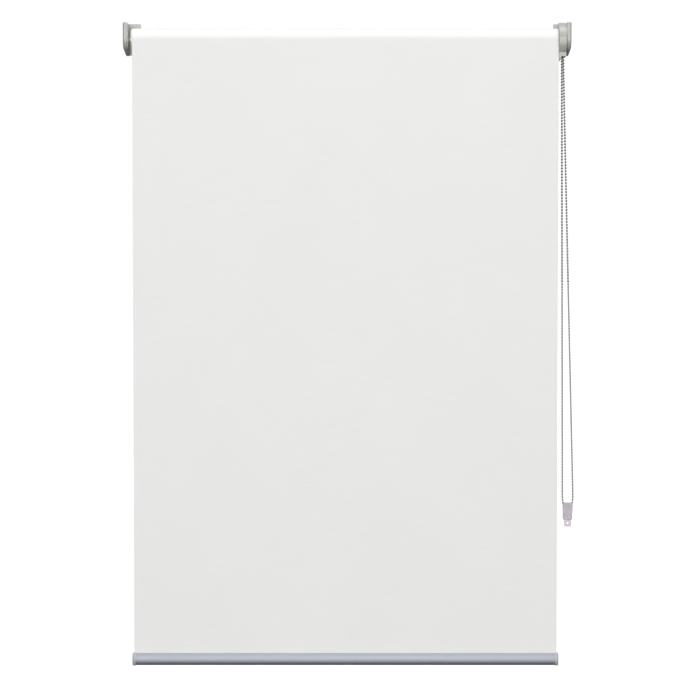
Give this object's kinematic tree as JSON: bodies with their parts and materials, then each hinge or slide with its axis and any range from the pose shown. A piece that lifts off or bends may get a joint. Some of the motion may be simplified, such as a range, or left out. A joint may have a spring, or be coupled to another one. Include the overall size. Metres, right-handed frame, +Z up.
{
  "type": "roller blind",
  "caption": "Chain-operated roller blind, fully lowered: covered brackets, sprung idle pin, brake clutch, bead chain loop with tensioner, fabric and bottom rail.",
  "frame": {"origin": "centre of the four wall screw holes, in the wall plane, at the height of the roller's axis", "axes": "+X towards the chain side, +Y into the wall, +Z up; the room is on the -Y side"},
  "size_m": [0.9108, 0.0727, 1.3002],
  "materials": {
    "bracket_steel": "white powder-coated steel sheet",
    "cover_plastic": "injection-moulded ABS, satin, warm light grey-white",
    "guard_plastic": "injection-moulded ABS, satin, warm light grey-white",
    "clutch_nylon": "natural moulded nylon",
    "wheel_acetal": "moulded acetal",
    "zinc_steel": "bright zinc-plated steel",
    "spring_steel": "hard-drawn spring wire",
    "tube_aluminium": "mill-finish extrusion",
    "rail_aluminium": "satin silver anodised extrusion",
    "rail_cap_plastic": "moulded ABS, silver grey",
    "blind_fabric": "coated plain-weave polyester, off-white",
    "spline_pvc": "extruded PVC",
    "chain_nickel": "nickel-plated steel ball chain",
    "clear_polycarbonate": "clear moulded polycarbonate, faint violet cast"
  },
  "bodies": {
    "frame": {"left_bracket": "bracket_steel", "right_bracket": "bracket_steel", "pin_bush": "clutch_nylon", "clutch_spindle": "clutch_nylon", "clutch_screw": "zinc_steel", "screw_washer": "zinc_steel", "spindle_ring": "spring_steel", "guard_outer": "guard_plastic", "guard_inner": "guard_plastic", "guard_chain": "chain_nickel"},
    "roller": {"roller_tube": "tube_aluminium", "tube_spline": "spline_pvc", "fabric_roll": "blind_fabric", "idle_plug": "clutch_nylon", "spring_cap": "clutch_nylon", "pin_spring": "spring_steel", "clutch_drum": "clutch_nylon", "wrap_springs": "spring_steel"},
    "wheel": {"chain_wheel": "wheel_acetal"},
    "pin": {"idle_pin": "zinc_steel"},
    "rail": {"bottom_rail": "rail_aluminium", "rail_spline": "spline_pvc", "rail_cap_left": "rail_cap_plastic", "rail_cap_right": "rail_cap_plastic", "fabric_sheet": "blind_fabric"},
    "left_cap": {"left_cover": "cover_plastic"},
    "right_cap": {"right_cover": "cover_plastic"},
    "chain_loop": {"bead_chain": "chain_nickel", "tensioner_body": "clear_polycarbonate", "tensioner_cover": "clear_polycarbonate", "tensioner_foot": "clear_polycarbonate"}
  },
  "joints": [
    {"name": "rail_lift", "type": "slide", "parent": "frame", "child": "rail", "axis": [0, 0, 1], "range_m": [0, 1.19], "deforming": ["fabric_sheet"]},
    {"name": "tube_spin", "type": "hinge", "parent": "frame", "child": "roller", "pos_m": [0, -0.038, 0], "axis": [-1, 0, 0], "range_deg": [0, 2809]},
    {"name": "wheel_spin", "type": "hinge", "parent": "frame", "child": "wheel", "pos_m": [0.4345, -0.038, 0], "axis": [-1, 0, 0], "range_deg": [0, 2809], "deforming": ["guard_chain"]},
    {"name": "pin_retract", "type": "slide", "parent": "roller", "child": "pin", "axis": [1, 0, 0], "range_m": [0, 0.008], "stiffness_N_per_m": 500, "springref_m": -0.008, "deforming": ["pin_spring"]},
    {"name": "left_cover_off", "type": "slide", "parent": "frame", "child": "left_cap", "axis": [-1, 0, 0], "range_m": [0, 0.03]},
    {"name": "right_cover_off", "type": "slide", "parent": "frame", "child": "right_cap", "axis": [1, 0, 0], "range_m": [0, 0.03]},
    {"name": "chain_swing", "type": "hinge", "parent": "frame", "child": "chain_loop", "pos_m": [0.4345, -0.038, -0.04455], "axis": [0, -1, 0], "range_deg": [0, 12]}
  ],
  "couplings": [
    {"joint": "tube_spin", "follows": "rail_lift", "rad_per_m": 41.184},
    {"joint": "wheel_spin", "follows": "rail_lift", "rad_per_m": 41.184}
  ]
}
